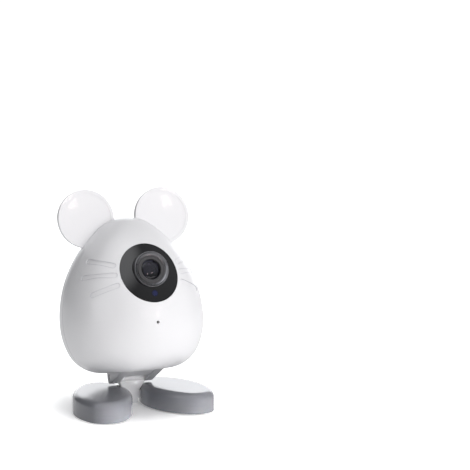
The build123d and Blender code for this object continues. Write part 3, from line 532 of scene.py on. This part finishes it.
# %% Turned shapes


pole_radius = 0.005
merge_distance = 0.012 * mm


def turned(profile, steps=128):
    """Turns a closed profile of (radius, height) in mm about Z, by extruding a circle."""
    start_clean()
    radius, height = profile[0]
    bpy.ops.mesh.primitive_circle_add(vertices=steps, radius=radius * mm, location=(0, 0, height * mm))
    piece = bpy.context.object
    bpy.ops.object.transform_apply()
    bpy.ops.object.mode_set(mode="EDIT")
    bpy.ops.mesh.select_all(action="SELECT")
    for next_radius, next_height in [*profile[1:], profile[0]]:
        bpy.ops.mesh.extrude_edges_move()
        share = next_radius / radius
        bpy.ops.transform.resize(value=(share, share, 1), center_override=(0, 0, 0))
        bpy.ops.transform.translate(value=(0, 0, (next_height - height) * mm))
        radius, height = next_radius, next_height
    bpy.ops.mesh.select_all(action="SELECT")
    bpy.ops.mesh.remove_doubles(threshold=merge_distance)
    bpy.ops.mesh.delete_loose()
    bpy.ops.mesh.select_all(action="SELECT")
    bpy.ops.mesh.normals_make_consistent(inside=False)
    bpy.ops.object.mode_set(mode="OBJECT")
    return piece


def round_corner(centre, radius, start, end, steps=5):
    """Points of an arc in a profile, angles in degrees from the radius direction."""
    turns = [math.radians(start + (end - start) * step / steps) for step in range(steps + 1)]
    return [(centre[0] + radius * math.cos(a), centre[1] + radius * math.sin(a)) for a in turns]


# %% [markdown]
# ## The lens: collar, barrel and glass
# All three are turned pieces on one axis, which rises 8 degrees from the head's level. The
# collar is a glossy ring with a flange behind the disc, and its front edge opens in a
# funnel. The barrel is matt, with a flat front ring, a fine groove in it, and stepped
# baffles down to the sensor that swallow stray light. The glass has a shallow dome. A
# profile extruded round a circle gives each of them its exact section.

# %% Lens axis
lens_rise = 8
lens_start = Matrix.Translation((0, -22.97 * mm, 49.7 * mm))
lens_place = head_place @ lens_start @ Matrix.Rotation(math.radians(90 - lens_rise), 4, "X")
print("lens axis", [round(part, 3) for part in lens_place.col[2][:3]])

# %% Lens collar
collar_bore, collar_radius, flange_radius = 7.35, 9.25, 10.8
collar_profile = [
    (collar_bore, 1.4),
    (flange_radius, 1.4),
    (flange_radius, 2.4),
    (collar_radius, 2.4),
    (collar_radius, 6.0),
    *round_corner((8.95, 11.9), 0.3, 0, 140, 7),
    (8.4, 11.5),
    (8.05, 11.2),
    (7.7, 11.05),
    (collar_bore, 11.0),
    (collar_bore, 8.0),
]
collar = turned(collar_profile, 160)
set_in_place(collar, lens_place, 40)
finish_piece(collar, "lens_collar", "head", collar_black, "ring_black", "lens_trim_ring")

# %% Lens barrel
thread_radius, thread_depth, pitch = 6.0, 0.25, 0.5
thread = [
    point
    for turn in range(7)
    for point in (
        (thread_radius, -3.8 + pitch * turn),
        (thread_radius - thread_depth, -3.55 + pitch * turn),
    )
]
baffles = [(5.25, 8.72), (4.7, 8.7), (4.7, 8.1), (4.15, 8.05), (4.15, 7.4), (3.4, 7.3), (3.4, 5.3)]
barrel_profile = [
    (2.2, -4.0),
    (5.8, -4.0),
    *thread,
    (thread_radius, -0.2),
    (thread_radius, 0),
    (7.25, 0),
    (7.25, 10.6),
    *round_corner((7.0, 11.15), 0.25, 0, 90, 4),
    (6.55, 11.4),
    (6.5, 11.25),
    (6.3, 11.25),
    (6.25, 11.38),
    (5.5, 11.3),
    (5.35, 11.15),
    (5.3, 10.6),
    (5.25, 10.4),
    (5.25, 9.5),
    *baffles,
    (2.2, 5.3),
]
barrel = turned(barrel_profile, 144)
set_in_place(barrel, lens_place, 30)
finish_piece(barrel, "lens_body", "head", barrel_black, "barrel_black", "lens_barrel")

# %% Front glass
glass_radius, dome_radius, dome_top = 5.2, 14, 10.9
dome = [
    (dome_radius * math.sin(turn), dome_top - dome_radius + dome_radius * math.cos(turn))
    for turn in map(math.radians, (19, 16, 13, 10, 7, 4, 1.5, 0.0205))
]
glass_profile = [
    (pole_radius, 8.75),
    (glass_radius - 0.1, 8.75),
    (glass_radius, 8.85),
    (glass_radius, 9.85),
    *dome,
]
glass = turned(glass_profile, 96)
set_in_place(glass, lens_place, 40)
finish_piece(glass, "front_glass", "head", lens_glass, "lens_glass", "front_lens")

# %% [markdown]
# ## The feet
# Each foot is an oval shell of four tangent arcs, open below, with a soft edge round its
# flat top and a slot at the back for the stand's cross tongue. A cylinder with many sides
# is moved onto the oval, its top is bevelled, and it gets its wall by inset and extrude
# from below. The left foot is modelled once. The right one is its mirrored copy.

# %% Foot outline
foot_half_length, foot_half_width, foot_end_radius = 26.7, 15.4, 10.5
end_place = foot_half_length - foot_end_radius
side_radius = (end_place**2 + foot_half_width**2 - foot_end_radius**2) / (
    2 * (foot_half_width - foot_end_radius)
)
side_place = side_radius - foot_half_width
sweep = math.atan2(side_place, end_place)


def oval_point(turn):
    """Point of the foot's outline in mm for an angle of its outward direction."""
    across, along = math.sin(turn), math.cos(turn)
    if abs(math.atan2(across, abs(along))) < sweep:
        return (math.copysign(end_place, along) + foot_end_radius * along, foot_end_radius * across)
    return (side_radius * along, side_radius * across - math.copysign(side_place, across))


print("foot side arc", round(side_radius, 2), "mm")

# %% Foot shell
foot_bottom, foot_top, foot_edge_radius = 0.6, 11.2, 3.2
start_clean()
bpy.ops.mesh.primitive_cylinder_add(
    vertices=144,
    radius=1,
    depth=(foot_top - foot_bottom) * mm,
    location=(0, 0, (foot_top + foot_bottom) / 2 * mm),
)
foot = bpy.context.object
bpy.ops.object.transform_apply()
bpy.ops.object.mode_set(mode="EDIT")
mesh = bmesh.from_edit_mesh(foot.data)
for vertex in mesh.verts:
    x, y = oval_point(math.atan2(vertex.co.y, vertex.co.x))
    vertex.co.x, vertex.co.y = x * mm, y * mm
bmesh.update_edit_mesh(foot.data)
select_edges(foot, lambda edge: all(vertex.co.z > (foot_top - 0.2) * mm for vertex in edge.verts))
bpy.ops.mesh.bevel(offset=foot_edge_radius * mm, segments=8, profile=0.5)
select_faces(foot, lambda face: len(face.verts) > 4 and face.normal.z > 0)
bpy.ops.mesh.inset(thickness=2.5 * mm)
bpy.ops.transform.translate(value=(0, 0, -0.04 * mm))
bpy.ops.mesh.inset(thickness=3.0 * mm)
print("foot outside", len(foot.data.polygons), "faces before its hollow")

# %% Foot hollow
base_seat_width, base_seat_depth, wall_rest, hollow_depth = 1.2, 1.6, 0.8, 7.0
select_faces(foot, lambda face: len(face.verts) > 4 and face.normal.z < 0)
for inward, upward in ((base_seat_width, base_seat_depth), (wall_rest, hollow_depth)):
    bpy.ops.mesh.inset(thickness=inward * mm)
    bpy.ops.mesh.extrude_region_move(TRANSFORM_OT_translate={"value": (0, 0, upward * mm)})
bpy.ops.mesh.select_all(action="SELECT")
bpy.ops.mesh.normals_make_consistent(inside=False)
bpy.ops.object.mode_set(mode="OBJECT")
print("foot shell", len(foot.data.polygons), "faces")

# %% Foot slot, screw posts and copies
toe_out = math.radians(13)
foot_middle = Matrix.Translation((-20.6 * mm, -10.9 * mm, 0))
set_in_place(foot, foot_middle @ Matrix.Rotation(-math.pi / 2 - toe_out, 4, "Z"), 40)
start_clean()
bpy.ops.mesh.primitive_cube_add(size=1, location=(0, 5.0 * mm, 5.35 * mm))
tongue_room = bpy.context.object
tongue_room.scale = (30.2 * mm, 10.2 * mm, 4.1 * mm)
pilot_radius, post_radius, post_bottom, post_top = 1.0, 2.6, 7.4, 9.6
post_profile = [
    (pilot_radius, post_bottom),
    (post_radius, post_bottom),
    (post_radius, post_top),
    (pilot_radius, post_top),
]
for depth in (2.6, 7.4):
    screw_post = turned(post_profile, 32)
    set_in_place(screw_post, Matrix.Translation((-11.2 * mm, depth * mm, 0)))
    cut(foot, screw_post, "UNION")
cut(foot, tongue_room)
pick(foot)
bpy.ops.object.shade_smooth_by_angle(angle=math.radians(40))
right_foot = mirrored_copy(foot)
finish_piece(foot, "left_foot_shell", "stand", foot_grey, "foot_grey", "left_foot")
finish_piece(right_foot, "right_foot_shell", "stand", foot_grey, "foot_grey", "right_foot")

# %% [markdown]
# ## Bracket and stand post
# Their CAD shapes are right, but every edge in them is knife sharp, and a moulded edge is
# rounded by a few tenths of a millimetre, which is what catches the light. So each is a
# copy of its CAD mesh, merged and cleaned of the lines inside its flat faces, and then
# bevelled along its sharp edges.

# %% Rounded copies


def rounded_copy(node, width):
    """Copy of a CAD part with its sharp edges rounded by this much, in mm."""
    source = frame["nodes"][node]
    piece = source.copy()
    piece.data = source.data.copy()
    bpy.context.scene.collection.objects.link(piece)
    piece.parent = None
    piece.matrix_world = Matrix.Identity(4)
    pick(piece)
    bpy.ops.mesh.customdata_custom_splitnormals_clear()
    bpy.ops.object.mode_set(mode="EDIT")
    bpy.ops.mesh.select_all(action="SELECT")
    bpy.ops.mesh.remove_doubles(threshold=0.002 * mm)
    bpy.ops.mesh.dissolve_limited(angle_limit=math.radians(1))
    bpy.ops.object.mode_set(mode="OBJECT")
    apply_modifier(
        piece,
        "BEVEL",
        width=width * mm,
        segments=3,
        limit_method="ANGLE",
        angle_limit=math.radians(50),
        use_clamp_overlap=True,
    )
    bpy.ops.object.shade_smooth_by_angle(angle=math.radians(35))
    return piece


bracket = rounded_copy("tilt_bracket", 0.25)

# %% [markdown]
# Between the fins the bracket is a wedge as deep as they are, with an arch in it that the
# knuckle turns in. A cube is cut by three planes: the slanted one runs parallel to the
# fins' lower edges, the steep one keeps clear of the stalk when the head tilts down, and
# the flat one closes the wedge below. A turned cylinder then cuts the arch, and the
# wedge is joined to the bracket.

# %% Wedge between the fins
start_clean()
bpy.ops.mesh.primitive_cube_add(size=1, location=(0, -2.6 * mm, -2.85 * mm))
wedge = bpy.context.object
wedge.scale = (14.9 * mm, 17 * mm, 6.1 * mm)
pick(wedge)
bpy.ops.object.transform_apply()
bpy.ops.object.mode_set(mode="EDIT")
slanted = ((0, -9.9, 0), (0, -0.308, -0.951))
steep = ((0, 5.94, -2.03), (0, 0.978, -0.208))
flat = ((0, 0, -2.7), (0, 0.1, -1))
for point, outward in (slanted, steep, flat):
    bpy.ops.mesh.select_all(action="SELECT")
    bpy.ops.mesh.bisect(
        plane_co=[length * mm for length in point], plane_no=outward, use_fill=True, clear_outer=True
    )
bpy.ops.object.mode_set(mode="OBJECT")
print("wedge", len(wedge.data.polygons), "faces")

# %% Arch for the knuckle
arch_radius, arch_reach = 3.99, 8
arch_profile = [
    (arch_radius, -arch_reach),
    (pole_radius, -arch_reach),
    (pole_radius, arch_reach),
    (arch_radius, arch_reach),
]
arch = turned(arch_profile, 96)
knuckle = Matrix.Translation((0, 8.63 * mm, -2.6 * mm))
set_in_place(arch, knuckle @ Matrix.Rotation(math.pi / 2, 4, "Y"))
cut(wedge, arch)
set_in_place(wedge, head_place)
cut(bracket, wedge, "UNION")
pick(bracket)
bpy.ops.object.shade_smooth_by_angle(angle=math.radians(35))
finish_piece(bracket, "hinge_bracket", "head", bracket_grey, "bracket_grey", "tilt_bracket")
stalk = rounded_copy("stand_post", 0.3)
finish_piece(stalk, "stalk", "stand", post_grey, "post_grey", "stand_post")

# %% [markdown]
# ## The ears
# Each ear is a moulded disc with a rolled rim round a shallow dish, and a hooked tab that
# the two shells clamp. A thin dish that is turned on the ear's own axis is cut out of a
# copy of the measured part, so the floor of the dish is one clean curve and the rim gets
# a soft shoulder. The tab stays as measured, and the right ear is the left one mirrored.

# %% Dished ears
dish_curve, dish_edge, dish_edge_height = 156.7, 13.5, 1.05
dish_middle = dish_edge_height + math.sqrt(dish_curve**2 - dish_edge**2)
dish_floor = [
    (max(reach, pole_radius), dish_middle - math.sqrt(dish_curve**2 - reach**2))
    for reach in (dish_edge, 12, 10, 8, 6, 4, 2, 0)
]
dish_profile = [
    (pole_radius, 2.2),
    (14.05, 2.2),
    *round_corner((14.05, 1.15), 0.35, 90, 180, 5),
    (13.65, 1.09),
    *dish_floor,
]
ear = rounded_copy("left_ear", 0.05)
dish = turned(dish_profile, 96)
ear_spread, ear_height = 21.4, 81.3
ear_middle = Matrix.Translation((-ear_spread * mm, 0, ear_height * mm))
set_in_place(dish, head_place @ ear_middle @ Matrix.Rotation(math.pi / 2, 4, "X"))
cut(ear, dish)
pick(ear)
bpy.ops.object.shade_smooth_by_angle(angle=math.radians(35))
right_ear = mirrored_copy(ear)
finish_piece(ear, "left_ear_disc", "head", white_shell, "shell_white", "left_ear")
finish_piece(right_ear, "right_ear_disc", "head", white_shell, "shell_white", "right_ear")

# %% [markdown]
# ## The view
# The photograph looks slightly down and from the front's left, with a long lens that
# keeps the shapes calm. The camera's place and turn were fitted until the outlines met.

# %% Camera
camera = bpy.data.objects.new("camera", bpy.data.cameras.new("camera"))
bpy.context.scene.collection.objects.link(camera)
look_down, look_right = 6.385, 24.921
camera.location = (-0.25761, -0.68436, 0.17255)
camera.rotation_euler = (math.radians(90 - look_down), 0, math.radians(-look_right))
camera.data.lens = 106.89
camera.data.sensor_width = 36
camera.data.clip_start = 0.01
camera.data.clip_end = 50
bpy.context.scene.camera = camera
print("camera", round(camera.location.length, 3), "m away")

# %% [markdown]
# ## The floor
# The floor is plain and pale. To the camera it glows more with distance: painted light that
# runs it into the white behind it, and painted shade near the feet, where it glows least. To
# other rays it glows evenly as a lamp, which lightens the undersides.

# %% Floor
bpy.ops.mesh.primitive_plane_add(size=6, location=(0, 0, 0))
floor = bpy.context.object
floor.name = "floor"
floor_material, nodes, links, shader = new_material("floor")
shader.inputs["Base Color"].default_value = (0.9, 0.9, 0.9, 1)
shader.inputs["Roughness"].default_value = 0.7
shader.inputs["Emission Color"].default_value = (1, 1, 1, 1)
place = nodes.new("ShaderNodeTexCoord")
distance = nodes.new("ShaderNodeVectorMath")
distance.operation = "LENGTH"
# painted shade and light: the floor's glow to the camera is dim near the feet and full further out
glow = nodes.new("ShaderNodeMapRange")
glow.interpolation_type = "SMOOTHSTEP"
painted_shade_end, glow_start = 0.02, 0.07
glow.inputs["From Min"].default_value = painted_shade_end
glow.inputs["From Max"].default_value = glow_start
glow.inputs["To Min"].default_value = 0.14
glow.inputs["To Max"].default_value = 1.0
links.new(place.outputs["Object"], distance.inputs[0])
links.new(distance.outputs["Value"], glow.inputs["Value"])
seen = nodes.new("ShaderNodeLightPath")
emit = nodes.new("ShaderNodeMix")
emit.inputs["A"].default_value = 0.24
links.new(seen.outputs["Is Camera Ray"], emit.inputs["Factor"])
links.new(glow.outputs["Result"], emit.inputs["B"])
links.new(emit.outputs["Result"], shader.inputs["Emission Strength"])
paint(floor, floor_material)
print("floor laid")

# %% [markdown]
# ## The light
# The room is one large soft light, brighter from the right and from above, which leaves
# the body's left side greyer. Glossy rays see three more glows, from above, from behind
# and from the left, which the disc and the tops of the feet mirror. A gradient has no
# edges, so the polished disc shows no hard shapes.

# %% World
world = bpy.data.worlds.new("studio")
world.use_nodes = True
sky, links = world.node_tree.nodes, world.node_tree.links
background = sky["Background"]
background.inputs["Color"].default_value = (0.97, 0.98, 1.0, 1)
heading = sky.new("ShaderNodeTexCoord")
room_level, backdrop_level = 0.10, 1.1


def glow_towards(direction, low, high, strength, under=None):
    """Adds light that grows towards a direction on top of what is already there."""
    along = sky.new("ShaderNodeVectorMath")
    along.operation = "DOT_PRODUCT"
    along.inputs[1].default_value = direction
    share = sky.new("ShaderNodeMapRange")
    share.interpolation_type = "SMOOTHSTEP"
    share.inputs["From Min"].default_value = low
    share.inputs["From Max"].default_value = high
    share.inputs["To Max"].default_value = strength
    add = sky.new("ShaderNodeMath")
    add.inputs[1].default_value = room_level
    links.new(heading.outputs["Generated"], along.inputs[0])
    links.new(along.outputs["Value"], share.inputs["Value"])
    links.new(share.outputs["Result"], add.inputs[0])
    if under is not None:
        links.new(under, add.inputs[1])
    return add.outputs["Value"]


right, above = (0.6, -0.8, 0.1), (0.1, 0.0, 1.0)
soft = glow_towards(right, -0.1, 1.0, 0.30)
soft = glow_towards(above, 0.0, 1.0, 0.22, soft)
print("soft room light made")

# %% Glows for reflections
overhead, behind, left = (-0.38, -0.20, 0.90), (0.42, 0.90, 0.1), (-0.91, -0.28, 0.29)
mirrored = glow_towards(overhead, 0.76, 0.97, 1.9, soft)
mirrored = glow_towards(behind, 0.75, 0.97, 2.4, mirrored)
mirrored = glow_towards(left, 0.92, 0.995, 2.0, mirrored)
path = sky.new("ShaderNodeLightPath")
gloss = sky.new("ShaderNodeMix")
level = sky.new("ShaderNodeMix")
level.inputs["B"].default_value = backdrop_level
links.new(path.outputs["Is Glossy Ray"], gloss.inputs["Factor"])
links.new(soft, gloss.inputs["A"])
links.new(mirrored, gloss.inputs["B"])
links.new(path.outputs["Is Camera Ray"], level.inputs["Factor"])
links.new(gloss.outputs["Result"], level.inputs["A"])
links.new(level.outputs["Result"], background.inputs["Strength"])
bpy.context.scene.world = world
bpy.context.scene.view_settings.view_transform = "Standard"
print("room light set")

# %% [markdown]
# Area lights add the soft shadows: a key from the front's right, one above and one behind.
# A narrow strip near the floor lights the feet's sides, as a low lamp beside a product
# table does. They are left out of the reflections. Two small lamps stay in them, as the
# faint red glints deep in the lens.

# %% Lights


def soft_light(name, place, size, power, aim=(0, 0, 0.05)):
    """Square area light at a place, pointed at the camera's middle or another aim."""
    light = bpy.data.objects.new(name, bpy.data.lights.new(name, "AREA"))
    bpy.context.scene.collection.objects.link(light)
    light.location = place
    light.rotation_euler = (Vector(aim) - Vector(place)).to_track_quat("-Z", "Y").to_euler()
    light.data.size = size
    light.data.energy = power
    light.visible_glossy = False
    return light


soft_light("key", (0.28, -0.78, 0.28), 0.6, 3.7)
soft_light("top", (0.05, -0.1, 0.9), 0.7, 1.3)
soft_light("back", (0.35, 0.85, 0.5), 0.7, 2.2)
low = soft_light("low", (0.26, -0.44, 0.010), 0.25, 0.027, (0, -0.02, -0.004))
low.data.shape = "RECTANGLE"
low.data.size_y = 0.01
low.data.spread = math.radians(5)
lamp_distance, lamp_height = 0.75, 0.24
for name, turn in (("left lamp", 2), ("right lamp", 22)):
    turn = math.radians(turn)
    across, depth = lamp_distance * math.sin(turn), -lamp_distance * math.cos(turn)
    lamp = soft_light(name, (across, depth, lamp_height), 0.045, 0.14)
    lamp.data.color = (1.0, 0.78, 0.76)
    lamp.visible_glossy = True
print("lights placed")
